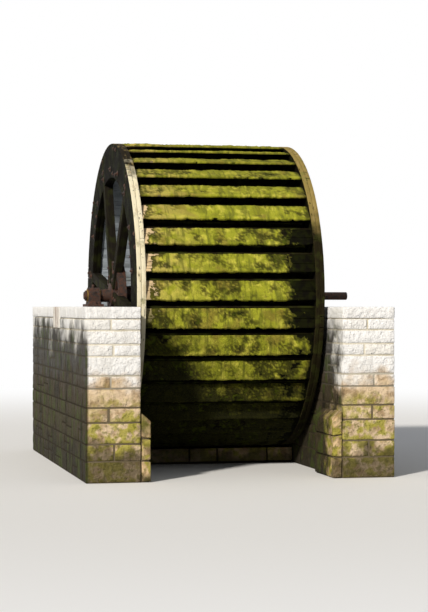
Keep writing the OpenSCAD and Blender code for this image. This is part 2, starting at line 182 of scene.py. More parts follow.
def turned(work, rings, sides, place, tone):
    """A closed solid of rings, each a radius and a height, on the first axis of place()."""
    points = [Vector((h, r * math.cos(math.tau * i / sides), r * math.sin(math.tau * i / sides)))
              for r, h in rings for i in range(sides)]
    faces = [[k * sides + i, k * sides + (i + 1) % sides, (k + 1) * sides + (i + 1) % sides,
              (k + 1) * sides + i] for k in range(len(rings) - 1) for i in range(sides)]
    faces += [list(range(sides)), [(len(rings) - 1) * sides + i for i in range(sides)]]
    work.add([Vector(place(p)) for p in points], faces, tone, points)


def bolt(work, at, out, across, high, washer=0.95):
    """A round washer and a chamfered hexagon head or nut, standing along out from at.

    across is the head's width over its flats, and washer the washer's radius in such widths.
    """
    at, out = Vector(at), Vector(out)
    side = out.orthogonal().normalized()
    up = out.cross(side)
    spin = chance.uniform(0, math.pi)
    side, up = side * math.cos(spin) + up * math.sin(spin), up * math.cos(spin) - side * math.sin(spin)

    def place(p):
        return at + out * p.x + side * p.y + up * p.z

    tone = chance.random()
    disc, corner = across * washer, across * 0.58
    turned(work, [(disc, -0.002), (disc, 0.004), (disc - 0.002, 0.006)], 20, place, tone)
    turned(work, [(corner, 0.002), (corner, high * 0.8), (across * 0.5, high)], 6, place, tone)


def on_wheel(x, r, turn):
    """The place at a distance x along the axle, a radius and a turn about the axle."""
    return Vector((x, r * math.cos(turn), AXLE_Z + r * math.sin(turn)))


def by_spoke(turn, x, out, across):
    """The place at x along the axle, out along the spoke at this turn and across from it."""
    return Vector((x, out * math.cos(turn) - across * math.sin(turn),
                   AXLE_Z + out * math.sin(turn) + across * math.cos(turn)))


def on_board(k, x, v, w):
    """The place on float k at x, v from the elbow to the lip and w into the wood."""
    out = ELBOW_R + v * FLOAT_ALONG[0] + w * FLOAT_IN[0]
    across = v * FLOAT_ALONG[1] + w * FLOAT_IN[1]
    return by_spoke(FIRST_ELBOW + k * PITCH, x, out, across)


# Finishes

def add(tree, kind, inputs, **settings):
    """Add a node to the tree, with its settings, values and links, and give its outputs."""
    node = tree.nodes.new("ShaderNode" + kind)
    for key, value in settings.items():
        setattr(node, key, value)
    for key, value in inputs.items():
        if isinstance(value, bpy.types.NodeSocket):
            tree.links.new(value, node.inputs[key])
        else:
            node.inputs[key].default_value = value
    return node.outputs


def new_finish(name):
    """An empty material of this name, its node tree and each point's place in metres."""
    material = bpy.data.materials.new(name)
    material.use_nodes = True
    tree = material.node_tree
    tree.nodes.clear()
    return material, tree, add(tree, "TexCoord", {})["Object"]


def patches(tree, place, size, low, high, detail=4.0, stretch=(1, 1, 1)):
    """A cover of cloudy patches of about this size in metres: none below low, full above high."""
    laid = add(tree, "VectorMath", {0: place, 1: [s / size for s in stretch]}, operation="MULTIPLY")
    cloud = add(tree, "TexNoise", {"Vector": laid[0], "Scale": 1.0, "Detail": detail})
    return add(tree, "MapRange", {"Value": cloud[0], "From Min": low, "From Max": high},
               interpolation_type="SMOOTHSTEP")[0]


def frayed(tree, along, spot, size, depth, detail=4.0):
    """A coordinate that patches of this size push by up to depth, for the line of a stain."""
    return add(tree, "Math", {0: patches(tree, spot, size, 0.2, 0.8, detail), 1: depth, 2: along},
               operation="MULTIPLY_ADD")[0]


def coats(tree, base, *layers):
    """The colour of a base under coats, each a cover and a colour, laid one over another."""
    colour = linear(base) if isinstance(base, str) else base
    for cover, paint in layers:
        paint = linear(paint) if isinstance(paint, str) else paint
        colour = add(tree, "Mix", {0: cover, 6: colour, 7: paint}, data_type="RGBA")[2]
    return colour


def share(tree, *parts):
    """The product of covers and plain shares."""
    product = parts[0]
    for part in parts[1:]:
        product = add(tree, "Math", {0: product, 1: part}, operation="MULTIPLY")[0]
    return product


def relief(tree, *layers):
    """Normals for layers of relief, each a height from 0 to 1 and its depth in metres."""
    normal = None
    for height, depth in layers:
        inputs = {"Height": height, "Distance": depth, "Strength": 1.0}
        if normal:
            inputs["Normal"] = normal
        normal = add(tree, "Bump", inputs)[0]
    return normal


def surface(tree, **sockets):
    """The shader of the finish, with its sockets written with _ for a space."""
    inputs = {key.replace("_", " "): value for key, value in sockets.items()}
    add(tree, "OutputMaterial", {0: add(tree, "BsdfPrincipled", inputs)[0]})


def beside_wheel(tree, spot):
    """How wet a face of the masonry is, from 0 to 1, up to a ragged line; on the outer pier's far face it
    also paints shade.

    The faces beside the wheel never dry, nor does the outer pier's far face, whose darkness is partly
    painted shade.
    """
    x, y, z = add(tree, "SeparateXYZ", {0: spot})[:3]
    beside = add(tree, "Math", {0: x}, operation="ABSOLUTE")[0]
    inward = add(tree, "MapRange", {
        "Value": beside, "From Min": WALL_IN + 0.05, "From Max": WALL_IN + 0.01})[0]
    # The outer pier's far face: wet, and painted dark as shade
    far_face_wet_and_shade = add(tree, "MapRange", {
        "Value": x, "From Min": -WALL_OUT + 0.05, "From Max": -WALL_OUT + 0.02})[0]
    # The noses of the walls are drier
    back = add(tree, "MapRange", {
        "Value": frayed(tree, y, spot, 0.30, 0.8), "From Min": -2.55, "From Max": -2.05})[0]
    facing = add(tree, "Math", {0: share(tree, inward, back), 1: far_face_wet_and_shade}, operation="MAXIMUM")[0]
    return share(tree, facing, add(tree, "MapRange", {
        "Value": frayed(tree, z, spot, 0.45, 0.7, 5.0), "From Min": 2.80, "From Max": 2.15},
        interpolation_type="SMOOTHSTEP")[0])


def limestone(name, pale, warm, grey, tide=-1, algae=-1, wet=-1, lichen=0.3, rust=0.0, race=True):
    """Quarried limestone, pecked and weathered, with soft grey and honey patches.

    It goes ochre up to tide metres above the bed and green up to algae, and is wet and
    dark up to wet and, with race, where it faces the wheel and on the outer pier's far face,
    where the dark is partly painted shade. A level of -1 stands for none.
    lichen and rust are the shares of lichen and of the rust runs below a bearing.
    """
    material, tree, spot = new_finish(name)
    y, z = add(tree, "SeparateXYZ", {0: spot})[1:3]
    own = add(tree, "Attribute", {}, attribute_name="tone")["Fac"]
    grain = add(tree, "Attribute", {}, attribute_name="grain")["Vector"]
    cloud = patches(tree, grain, 0.25, 0.35, 0.7)
    speck = patches(tree, grain, 0.012, 0.45, 0.75, 3.0)
    pits = patches(tree, grain, 0.022, 0.30, 0.48, 2.0)
    runs = patches(tree, spot, 0.16, 0.48, 0.74, 4.0, (1, 1, 0.22))
    tide_z = frayed(tree, z, spot, 0.42, 0.55, 5.0)
    low, green, soaked = [
        add(tree, "MapRange", {"Value": tide_z, "From Min": level + dry, "From Max": level + full},
            interpolation_type="SMOOTHSTEP")[0]
        for level, dry, full in ((tide, 0.45, 0.05), (algae, 0.55, 0.10), (wet, 0.45, 0.20))]
    aged = add(tree, "MapRange", {
        "Value": own, "From Min": 0.45, "From Max": 1.0, "To Max": 0.8})[0]
    colour = coats(
        tree, pale,
        (aged, warm),
        (share(tree, cloud, 0.40), grey),
        (share(tree, speck, 0.15), "#d4cab0"),
        (share(tree, runs, 0.12), "#a0957c"),
        (share(tree, patches(tree, grain, 0.035, 0.62, 0.68), lichen), "#fbf6e8"),
        (share(tree, patches(tree, grain, 0.028, 0.66, 0.70), lichen), "#c98f2e"),
        (share(tree, low, 0.86), "#e3c497"),
        (share(tree, low, patches(tree, grain, 0.13, 0.42, 0.66, 5.0), 0.65), "#8c6c40"),
        (share(tree, low, runs, 0.35), "#7c6136"),
        (share(tree, green, patches(tree, spot, 0.13, 0.42, 0.56, 6.0), 0.85), "#aaa23c"),
        (share(tree, green, patches(tree, grain, 0.07, 0.52, 0.64, 5.0), 0.65), "#6f6f26"),
        (share(tree, soaked, 0.78), "#3b3320"),
    )
    gloss = add(tree, "MapRange", {"Value": soaked, "To Min": 0.88, "To Max": 0.30})[0]
    if race:
        # Dark and slimy where it faces the wheel; on the outer pier's far face the dark is partly painted
        # shade
        slime_and_shade = beside_wheel(tree, spot)
        colour = coats(
            tree, colour,
            (share(tree, slime_and_shade, 0.94), "#26221a"),
            (share(tree, slime_and_shade, patches(tree, spot, 0.22, 0.50, 0.62, 6.0, (1, 1, 0.6)), 0.65), "#3f4a1a"),
            (share(tree, slime_and_shade, patches(tree, grain, 0.10, 0.48, 0.70), 0.5), "#3a3121"),
            (share(tree, slime_and_shade, patches(tree, spot, 0.30, 0.52, 0.70, 6.0, (1, 1, 0.35)), 0.7), "#100e0a"))
        gloss = add(tree, "MapRange", {"Value": slime_and_shade, "To Min": gloss, "To Max": 0.75})[0]
    if rust:
        under = add(tree, "Math", {0: y}, operation="ABSOLUTE")[0]
        near = add(tree, "MapRange", {"Value": under, "From Min": 0.42, "From Max": 0.10})[0]
        streaks = patches(tree, spot, 0.05, 0.42, 0.62, 3.0, (1, 1, 0.12))
        colour = coats(tree, colour, (share(tree, near, streaks, rust), "#8a4c22"),
                       (share(tree, near, patches(tree, spot, 0.12, 0.5, 0.7), rust * 0.6), "#6b3a1c"))
    surface(tree, Base_Color=colour, Roughness=gloss, Specular_IOR_Level=0.1, Normal=relief(
        tree, (patches(tree, grain, 0.07, 0.2, 0.8), 0.012), (pits, 0.004), (speck, 0.0015)))
    return material


def lime_mortar(name):
    """Lime mortar with coarse sand, brushed back: sandy, dull, darker where it stays wet, and with painted
    shade on the outer pier's far face.
    """
    material, tree, spot = new_finish(name)
    z = add(tree, "SeparateXYZ", {0: spot})[2]
    damp = add(tree, "MapRange", {"Value": z, "From Min": 1.60, "From Max": 1.15})[0]
    # Dark with slime beside the wheel, and painted shade on the outer pier's far face
    slime_and_shade = beside_wheel(tree, spot)
    # Grains of sand are 2 mm across; they are drawn at 6 mm so that they show
    sand = patches(tree, spot, 0.006, 0.35, 0.65, 2.0)
    colour = coats(
        tree, "#e9e0ca",
        (share(tree, sand, 0.5), "#f3ecda"),
        (share(tree, patches(tree, spot, 0.2, 0.5, 0.7), 0.6), "#c4b796"),
        (share(tree, damp, 0.92), "#5f5135"),
        (share(tree, slime_and_shade, 0.93), "#2b251a"))
    surface(tree, Base_Color=colour, Roughness=0.95, Specular_IOR_Level=0.1,
            Normal=relief(tree, (sand, 0.002)))
    return material


def timber(name, pale, mid, dark, slime, wet, moss=0.0, edge=None, silvered=None):
    """Sawn timber that has been wet for years: raised grain and checks.

    slime is the share of green growth on it, moss of moss, wet its gloss, and edge the
    colours to which sun and wet have turned the rims: bleached, olive, and dark where
    they stay wet. silvered is the grey, pale and dark, of the sole boards' inner faces.
    """
    material, tree, spot = new_finish(name)
    grain = add(tree, "Attribute", {}, attribute_name="grain")["Vector"]
    own = add(tree, "Attribute", {}, attribute_name="tone")["Fac"]
    # Growth rings are 3 to 5 mm apart; they are drawn 7 mm apart, in lines of some 400 mm,
    # and the raised fibre at 2.5 mm, so that they show
    rings = patches(tree, grain, 0.007, 0.30, 0.70, 2.0, (0.018, 1, 0.6))
    fibre = patches(tree, grain, 0.0025, 0.30, 0.70, 2.0, (0.02, 1, 1))
    checks = share(tree, patches(tree, grain, 0.014, 0.66, 0.69, 1.0, (0.045, 1, 0.7)),
                   patches(tree, grain, 0.30, 0.46, 0.56, 2.0))
    bands = patches(tree, grain, 0.06, 0.35, 0.65, 3.0, (0.06, 1, 1))
    damp = patches(tree, spot, 0.32, 0.40, 0.65)
    colour = coats(
        tree, mid, (share(tree, bands, 0.6), pale), (share(tree, rings, 0.55), dark),
        (share(tree, own, 0.45), dark), (share(tree, fibre, 0.2), pale),
        (share(tree, damp, 0.35), dark),
        (share(tree, patches(tree, spot, 0.16, 0.46, 0.62, 5.0), slime), "#56601f"),
        (share(tree, patches(tree, grain, 0.05, 0.52, 0.62, 5.0, (0.4, 1, 1)), slime, 0.8), "#353a15"))
    if moss:
        # The sun bleaches the floats' ends by the outer rim, where the moss dries off
        x, _, z = add(tree, "SeparateXYZ", {0: spot})[:3]
        end = add(tree, "MapRange", {"Value": x, "From Min": -0.80, "From Max": -1.15})[0]
        high = add(tree, "MapRange", {"Value": z, "From Min": 2.1, "From Max": 2.7})[0]
        colour = coats(
            tree, colour,
            (share(tree, patches(tree, spot, 0.09, 0.44, 0.56, 6.0), moss), "#6f7a1e"),
            (share(tree, end, high), "#dcc094"))
        # Painted shadow: the other end of the boards, by the far rim, is painted near-black with slime
        # where the parked wheel lies in shade, and has no moss on it
        shaded = add(tree, "MapRange", {
            "Value": frayed(tree, x, spot, 0.20, 0.20, 5.0), "From Min": 0.88, "From Max": 0.98})[0]
        colour = coats(tree, colour, (share(tree, shaded, 0.90), "#0c0b07"))
    apart = add(tree, "VectorMath", {0: spot, 1: (0, 0, AXLE_Z)}, operation="SUBTRACT")[0]
    flat = add(tree, "VectorMath", {0: apart, 1: (0, 1, 1)}, operation="MULTIPLY")[0]
    radius = add(tree, "VectorMath", {0: flat}, operation="LENGTH")["Value"]
    if silvered:
        inside = add(tree, "MapRange", {
            "Value": radius, "From Min": SOLE_R + 0.018, "From Max": SOLE_R + 0.012})[0]
        grey, shaded = silvered
        colour = coats(tree, colour, (share(tree, inside, 0.95), coats(
            tree, grey, (share(tree, rings, 0.5), shaded), (share(tree, damp, 0.6), shaded),
            (share(tree, patches(tree, spot, 0.25, 0.52, 0.66, 5.0), 0.5), "#5a5f46"))))
    if edge:
        bleached, olive, soaked = edge
        x, _, z = add(tree, "SeparateXYZ", {0: apart})[:3]
        worn = add(tree, "MapRange", {
            "Value": radius, "From Min": WHEEL_R - 0.012, "From Max": WHEEL_R - 0.005})[0]
        far = add(tree, "MapRange", {"Value": x, "From Min": -0.5, "From Max": 0.5})[0]
        # Painted shade: the far rim's edge is painted near-black below the height at which it last stood
        # in the sun, with patches of green slime
        lower = share(tree, far, add(tree, "MapRange", {
            "Value": frayed(tree, z, spot, 0.25, 0.5), "From Min": 1.62, "From Max": 1.10})[0])
        # Round the top, where they are wettest, both rims are dark and green
        crown = add(tree, "MapRange", {
            "Value": frayed(tree, z, spot, 0.12, 0.25), "From Min": 1.82, "From Max": 2.05})[0]
        colour = coats(
            tree, colour,
            (share(tree, worn, 0.94), coats(tree, bleached, (crown, soaked), (far, olive))),
            (share(tree, worn, patches(tree, grain, 0.08, 0.50, 0.66, 5.0, (0.3, 1, 1)), 0.45), "#b49c68"),
            (share(tree, worn, patches(tree, spot, 0.20, 0.56, 0.66, 5.0), 0.6), "#7d7a3c"),
            (share(tree, worn, lower, 0.97), "#15130c"),
            (share(tree, worn, lower, patches(tree, spot, 0.14, 0.48, 0.64, 6.0), 0.55), "#383c18"))
    colour = coats(tree, colour, (share(tree, checks, 0.85), "#120e09"))
    gloss = add(tree, "MapRange", {
        "Value": damp, "To Min": 0.85 - 0.20 * wet, "To Max": 0.80 - 0.30 * wet})[0]
    surface(tree, Base_Color=colour, Roughness=gloss, Specular_IOR_Level=0.02, Normal=relief(
        tree, (rings, 0.0018), (fibre, 0.0006), (share(tree, checks, -1.0), 0.004)))
    return material


def cushion_moss(name):
    """Feather and cushion moss on wet boards: soft, dull, bright at the tips, and dark between, partly as
    painted shade.
    """
    material, tree, spot = new_finish(name)
    grain = add(tree, "Attribute", {}, attribute_name="grain")["Vector"]
    thick = add(tree, "Attribute", {}, attribute_name="tone")["Fac"]
    # Shoots are 2 mm across; they are drawn at 5 mm so that they show
    shoots = patches(tree, grain, 0.005, 0.30, 0.70, 3.0)
    tufts = patches(tree, grain, 0.022, 0.34, 0.66, 3.0)
    streaks = patches(tree, grain, 0.060, 0.48, 0.64, 4.0, (1, 0.16, 1))
    # The parked wheel's top is drier and browner, and its foot and outer front end are darkened: soaked
    # moss, and the outer pier's painted shadow
    x, y, z = add(tree, "SeparateXYZ", {0: spot})[:3]
    dry = add(tree, "MapRange", {
        "Value": z, "From Min": AXLE_Z + 1.35, "From Max": AXLE_Z + 2.25})[0]
    outer = add(tree, "MapRange", {"Value": x, "From Min": 0.2, "From Max": -1.1})[0]
    front = add(tree, "MapRange", {"Value": y, "From Min": 0.5, "From Max": -0.5})[0]
    line = add(tree, "Math", {
        0: share(tree, outer, front), 1: -0.75, 2: frayed(tree, z, spot, 0.30, 0.5, 5.0)},
        operation="MULTIPLY_ADD")[0]
    soaked = add(tree, "MapRange", {"Value": line, "From Min": 1.95, "From Max": 1.05})[0]
    # It dries to straw by the outer rim, where the sun is on it longest
    straw = share(tree, add(tree, "MapRange", {"Value": x, "From Min": -0.30, "From Max": -1.00})[0],
                  add(tree, "MapRange", {"Value": z, "From Min": 2.2, "From Max": 2.7})[0])
    # Where it is thin, between the tufts, it is painted dark: the dark wood showing between the shoots,
    # and painted shade in the creases
    thin = add(tree, "MapRange", {
        "Value": thick, "From Min": 0.46, "From Max": 0.10, "To Max": 0.88})[0]
    colour = coats(
        tree, "#8a8d18",
        (patches(tree, grain, 0.20, 0.38, 0.62, 3.0), "#b0b12a"),
        (share(tree, patches(tree, grain, 0.11, 0.50, 0.64, 4.0), 0.90), "#dad24c"),
        (share(tree, patches(tree, spot, 0.34, 0.54, 0.66, 4.0), 0.80), "#86702c"),
        (share(tree, dry, 0.60), "#7c7424"),
        (share(tree, straw, patches(tree, grain, 0.16, 0.38, 0.56, 4.0), 0.75), "#d6bd66"),
        (share(tree, streaks, 0.70), "#434c0e"),
        (share(tree, shoots, 0.25), "#dedb62"),
        (thin, "#2f2d0d"),
        # Near black: soaked moss, and the outer pier's painted shadow
        (share(tree, soaked, 0.96), "#0d0c06"))
    surface(tree, Base_Color=colour, Roughness=0.95, Specular_IOR_Level=0.1,
            Sheen_Weight=0.15, Sheen_Roughness=0.6, Sheen_Tint=linear("#dfe070"),
            Normal=relief(tree, (tufts, 0.008), (shoots, 0.003)))
    return material


def rusted_iron(name, scale, orange, smooth=None):
    """Cast or wrought iron, brown with rust over a sandy skin, and bright where it runs.

    smooth gives the band along the axle, from and to, where a journal is polished.
    """
    material, tree, spot = new_finish(name)
    crust = patches(tree, spot, 0.05, 0.42, 0.62, 5.0)
    # Pits are 1 to 3 mm wide; they are drawn at 7 mm so that they show
    pits = patches(tree, spot, 0.007, 0.38, 0.60, 3.0)
    runs = patches(tree, spot, 0.035, 0.46, 0.64, 4.0, (1, 0.5, 0.5))
    colour = coats(
        tree, scale,
        (share(tree, crust, 0.7), orange),
        (share(tree, runs, 0.45), "#5b3218"),
        (share(tree, pits, 0.45), "#17110d"),
        (patches(tree, spot, 0.011, 0.66, 0.72), "#9a5a2a"))
    gloss, metal = 0.72, 0.15
    if smooth:
        x = add(tree, "SeparateXYZ", {0: spot})[0]
        along = add(tree, "Math", {0: x}, operation="ABSOLUTE")[0]
        middle, half = (smooth[0] + smooth[1]) / 2, (smooth[1] - smooth[0]) / 2
        bright = add(tree, "Math", {0: along, 1: middle, 2: half}, operation="COMPARE")[0]
        colour = coats(tree, colour, (share(tree, bright, 0.9), "#8d8a86"))
        gloss = add(tree, "MapRange", {"Value": bright, "To Min": gloss, "To Max": 0.25})[0]
        metal = add(tree, "MapRange", {"Value": bright, "To Min": metal, "To Max": 1.0})[0]
    surface(tree, Base_Color=colour, Roughness=gloss, Metallic=metal,
            Normal=relief(tree, (crust, 0.0015), (pits, 0.0012)))
    return material


def bearing_bronze(name):
    """Cast bronze, machined and long greased: dull gold, brown in the hollows."""
    material, tree, spot = new_finish(name)
    grime = patches(tree, spot, 0.03, 0.42, 0.62, 4.0)
    # Marks of the turning tool are 0.5 mm apart; they are drawn at 2 mm so that they show
    marks = patches(tree, spot, 0.002, 0.35, 0.65, 2.0, (1, 0.1, 0.1))
    colour = coats(tree, "#a8873f", (share(tree, grime, 0.8), "#4b3a1e"),
                   (share(tree, marks, 0.2), "#c8a860"))
    gloss = add(tree, "MapRange", {"Value": grime, "To Min": 0.38, "To Max": 0.7})[0]
    surface(tree, Base_Color=colour, Metallic=0.85, Roughness=gloss,
            Normal=relief(tree, (marks, 0.0003)))
    return material


# The walls: near white in the sun, ochre below the tide line and green at the foot
pier_stone = limestone("weathered_limestone", "#fffdf9", "#faf5ea", "#efece4", 1.40, 0.95, 0.38)
# The coping: rain keeps it clean and pale, with more lichen
coping_stone = limestone("worn_pale_limestone", "#fffdf9", "#faf5ea", "#edeae1", lichen=0.4, race=False)
# The footings: ochre throughout, green below, and always wet
footing_stone = limestone("wet_ochre_limestone", "#b7995f", "#8d6f3a", "#7d7350", 1.2, 0.80, 0.10, 0.1)
# The bed stones: dressed smooth, with rust run down from the bearings
dressed_stone = limestone("dressed_limestone", "#f7f2e6", "#efe7d3", "#ddd7c8", lichen=0.25, rust=0.55,
                          race=False)
# The breast: brown and dark, for it is never dry
race_stone = limestone("soaked_limestone", "#6e6448", "#5a4f33", "#4b4632", 1.6, 1.4, 0.30, 0.05,
                       race=False)
# The crest: dull green with thin growth
crest_stone = limestone("mossy_limestone", "#a89c76", "#8e8158", "#7c7558", 2.2, 2.4, -1, 0.15,
                        race=False)
mortar = lime_mortar("lime_mortar")
rim_edge = ("#f3e8c6", "#9a864c", "#241f15")
# The arms: brown oak that dries between turns, and the rims: black oak, bleached at the edge
arm_wood = timber("weathered_oak", "#322d26", "#211d17", "#100e0b", 0.12, 0.4, edge=rim_edge)
cant_wood = timber("soaked_oak", "#1e1a14", "#13100c", "#090806", 0.10, 0.5, edge=rim_edge)
# The floats: dark wet elm with moss on it; the risers and soles: the same, slimy and bare
float_wood = timber("soaked_elm", "#2f2a18", "#1d190e", "#0d0b06", 0.3, 0.8, moss=0.30)
inner_wood = timber("dark_elm", "#2c2618", "#1d180f", "#0c0a06", 0.25, 0.9)
sole_wood = timber("silvered_elm", "#2c2618", "#1d180f", "#0c0a06", 0.25, 0.9,
                   silvered=("#b4bcc2", "#747c82"))
moss = cushion_moss("cushion_moss")
# Hubs and bearing blocks, the axle with its bright journals, and bolts, keys and tie rods
cast_iron = rusted_iron("rusted_cast_iron", "#2b221d", "#5a3420")
axle_iron = rusted_iron("axle_iron", "#30261f", "#5c3722", JOURNAL)
wrought_iron = rusted_iron("wrought_iron", "#2a201a", "#55301b")
bronze = bearing_bronze("bearing_bronze")


# Masonry

def stone_run(lo, hi, short, long):
    """Ends of the stones in a run from lo to hi, each between short and long."""
    ends = [lo]
    while hi - ends[-1] > long:
        ends.append(min(ends[-1] + chance.uniform(short, long), hi - short))
    return ends + [hi]


JOINT = 0.010           # width of a mortar joint
RECESS = 0.014          # depth of the mortar behind the stones' faces
STONE_DEEP, BREAST_DEEP = 0.24, 0.21
# Heights of the courses, from the bed up
WALL_COURSES = [0, 0.29, 0.52, 0.81, 1.01, 1.27, 1.44, 1.70, 1.86, BED_LOW, WALL_TOP - COPING_T]
FOOT_COURSES = [0, 0.29, 0.60, FOOT_TOP + JOINT / 2]
RACE_COURSES = [0, 0.31, 0.58, 0.90, 1.19, 1.50, CREST_LOW]
BREAST_ROWS = 13
# Shortest and longest stones: quoins along the wall and through it, then the other faces
QUOIN_LONG, QUOIN_SHORT = (0.42, 0.60), (0.26, 0.36)
FACING, BREAST_STONE, RACE_STONE = (0.30, 0.72), (0.40, 0.85), (0.38, 0.80)
BOND = 0.18             # how far the middle joints step to and fro
FOOT_CUTS = (0.42, 0.56, 0.36)      # joint in each course of a footing, from its nose
FOOT_SLOPE = 0.55       # a footing's weathered slope begins here
FOOT_CORE = 0.78        # top of the mortar in a footing
CREST_CUTS = [-WALL_IN, -0.62, 0.10, 0.80, WALL_IN]
CREST_START = 2.2       # the slabs are drawn from here, then set back to the breast's curve
SLAB_CUTS = [BED_HALF, BED_HALF + 0.80, BED_HALF + 1.72, WALL_END]
SLAB_GAP = 0.004        # from a slab of the coping to the middle of its joint
# Cells of a stone's faces, coarse on the axis that runs into the masonry
CELL = (0.062, 0.062, 0.062)
NOSE_CELL = (0.062, 0.150, 0.062)
FACING_CELL = (0.200, 0.085, 0.080)
BREAST_CELL = (0.100, 0.100, 0.120)


def stone(work, lo, hi, edge=0.017, rough=0.010, cell=CELL, **how):
    """A stone whose place, from lo to hi, reaches to the middle of its joints."""
    gap = JOINT / 2
    lo, hi = [lo[n] + gap for n in range(3)], [hi[n] - gap for n in range(3)]
    # Each stone is set back by up to 5 mm
    back = chance.uniform(0, 0.005)
    lo[0], hi[0] = lo[0] + back, hi[0] - back
    block(work, lo, hi, edge * chance.uniform(0.75, 1.3), cell, rough, chance.random(), **how)


def mirrored(side):
    """Sets a point of the drive-end wall on the wall of the given side."""
    return lambda p: Vector((p.x * side, p.y, p.z))


def mortar_bed(work, lo, hi, place, cell=(0.4, 0.4, 0.4)):
    """A plain block of mortar between and behind the stones."""
    block(work, lo, hi, 0.002, cell, 0, 0.5, place=place)


def pit_wall(side, wall, footing):
    """Coursed masonry: nose quoins in alternating bond, facing stones, mortar behind them."""
    work, core = Work(), Work()
    place = mirrored(side)
    half = JOINT / 2
    for row, (z0, z1) in enumerate(zip(WALL_COURSES, WALL_COURSES[1:])):
        top = row == len(WALL_COURSES) - 2
        for end in (-1, 1):
            # Quoins, then the facing stones up to the middle of the wall
            if row % 2:
                split = chance.uniform(0.40, 0.60) * (WALL_OUT - WALL_IN) + WALL_IN
                quoins = [(WALL_IN, split, chance.uniform(*QUOIN_LONG)),
                          (split, WALL_OUT, chance.uniform(*QUOIN_LONG))]
            else:
                quoins = [(WALL_IN, WALL_OUT, chance.uniform(*QUOIN_SHORT))]
            for x0, x1, deep in quoins:
                y0, y1 = sorted((end * (WALL_END + half), end * (WALL_END - deep)))
                stone(work, (x0 - half * (x0 == WALL_IN), y0, z0), (x1 + half * (x1 == WALL_OUT), y1, z1),
                      cell=NOSE_CELL, place=place)
            for x0, x1, deep in ((WALL_IN - half, WALL_IN + STONE_DEEP, quoins[0][2]),
                                 (WALL_OUT - STONE_DEEP, WALL_OUT + half, quoins[-1][2])):
                # The top course stops at the bed stone; below it the bond steps to and fro
                run = stone_run(BED_HALF if top else 0.0, WALL_END - deep, *FACING)
                if not top:
                    run[0] = end * BOND * (-1) ** row
                for near, far in zip(run, run[1:]):
                    y0, y1 = sorted((end * near, end * far))
                    # Some places in a tall course take two thin stones
                    cuts = [z0, z0 + (z1 - z0) * chance.uniform(0.38, 0.62), z1]
                    if z1 - z0 < 0.22 or chance.random() < 0.6:
                        cuts = [z0, z1]
                    for c0, c1 in zip(cuts, cuts[1:]):
                        stone(work, (x0, y0, c0), (x1, y1, c1), cell=FACING_CELL, place=place)
    # Mortar up to the bed stone, and on both sides of it
    high, reach = WALL_TOP - COPING_T - 0.002, WALL_END - RECESS
    for z0, z1, y0, y1 in ((0.002, BED_LOW - 0.004, -reach, reach),
                           (BED_LOW - 0.006, high, -reach, -BED_HALF - 0.02),
                           (BED_LOW - 0.006, high, BED_HALF + 0.02, reach)):
        mortar_bed(core, (WALL_IN + RECESS, y0, z0), (WALL_OUT - RECESS, y1, z1), place)
    work.piece(wall + "_stones", pier_stone, "root", "pier_limestone", wall)

    # The footing under the nose, with its weathered slope
    foot = Work()

    def slope(p):
        top = FOOT_LOW + (FOOT_TOP - FOOT_LOW) * (p.x - FOOT_X) / (WALL_IN - FOOT_X)
        if p.z > FOOT_SLOPE:
            p.z = FOOT_SLOPE + (p.z - FOOT_SLOPE) * (top - FOOT_SLOPE) / (FOOT_TOP - FOOT_SLOPE)
        return place(p)

    for z0, z1, cut in zip(FOOT_COURSES, FOOT_COURSES[1:], FOOT_CUTS):
        cut -= WALL_END
        for y0, y1 in ((-WALL_END - half, cut), (cut, FOOT_END + half)):
            stone(foot, (FOOT_X - half, y0, z0), (WALL_IN + half, y1, z1), 0.022, 0.012, place=slope)
    foot.piece(footing + "_stones", footing_stone, "root", "footing_stone", footing)
    mortar_bed(core, (FOOT_X + 0.03, -WALL_END + 0.03, 0.002),
               (WALL_IN + 0.03, FOOT_END - 0.03, FOOT_CORE), place)
    core.piece(wall + "_mortar", mortar, "root", "pier_limestone")


def coping(side, name):
    """Three slabs on each side of the bed stone, rounded by rain."""
    work = Work()
    for end in (-1, 1):
        for y0, y1 in zip(SLAB_CUTS, SLAB_CUTS[1:]):
            y0, y1 = y0 + SLAB_GAP * (y0 > BED_HALF), y1 - SLAB_GAP * (y1 < WALL_END)
            lo, hi = sorted((end * y0, end * y1))
            block(work, (WALL_IN, lo, WALL_TOP - COPING_T), (WALL_OUT, hi, WALL_TOP), edge=0.020,
                  cell=(0.05, 0.05, 0.05), rough=0.006, tone=chance.random(), place=mirrored(side),
                  fine=7.0)
    work.piece(name + "_slabs", coping_stone, "root", "coping_limestone", name)


def bed_stone(side, name):
    """The squared block that carries a bearing, with its arrises hardly worn."""
    work = Work()
    block(work, (WALL_IN, -BED_HALF, BED_LOW), (WALL_OUT, BED_HALF, WALL_TOP), edge=0.012,
          cell=(0.045, 0.045, 0.045), rough=0.003, tone=0.3, place=mirrored(side))
    work.piece(name + "_bed_block", dressed_stone, "root", "bed_stone", name + "_bed_stone")


for (side, name), wall in zip(SIDES, ("outer_pier", "inner_wall")):
    pit_wall(side, wall, name + "_footing")
    coping(side, name + "_coping")
    bed_stone(side, name)


